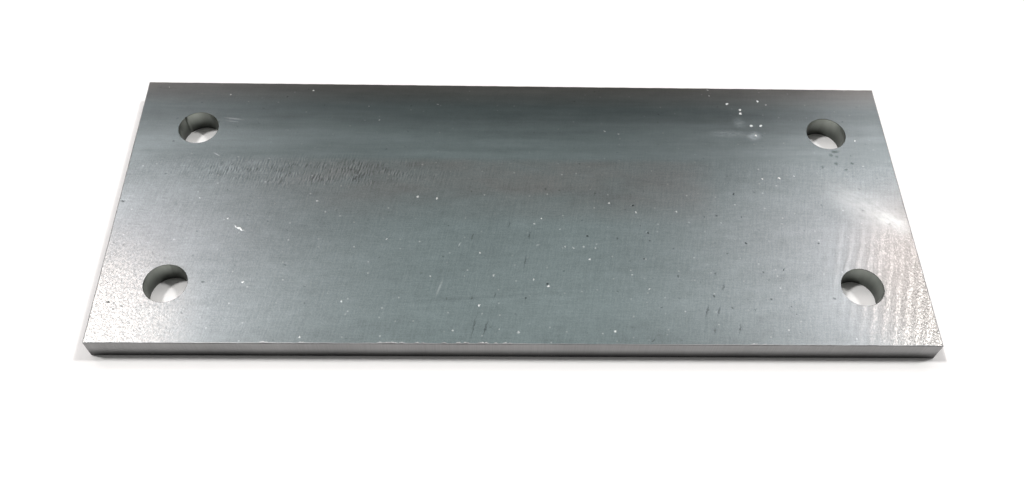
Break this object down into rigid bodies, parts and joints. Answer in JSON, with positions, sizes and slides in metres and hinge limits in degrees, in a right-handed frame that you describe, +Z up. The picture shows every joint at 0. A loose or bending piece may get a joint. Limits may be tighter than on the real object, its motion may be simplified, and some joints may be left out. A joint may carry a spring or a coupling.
{
  "type": "steel plate",
  "caption": "Flat rectangular steel plate with a plain round bolt hole near each corner, used as a fixing, base or joining plate.",
  "frame": {"origin": "centre of the underside, on the surface that the plate lies on", "axes": "+X along the length, +Y across the width towards the edge at the back of the picture, +Z up through the thickness"},
  "size_m": [0.25, 0.1, 0.008],
  "materials": {
    "mill_scale_steel": "hot-rolled mild steel, blue-grey mill scale with fine lines across the width and broken edges"
  },
  "bodies": {
    "root": {"plate": "mill_scale_steel"}
  },
  "joints": []
}
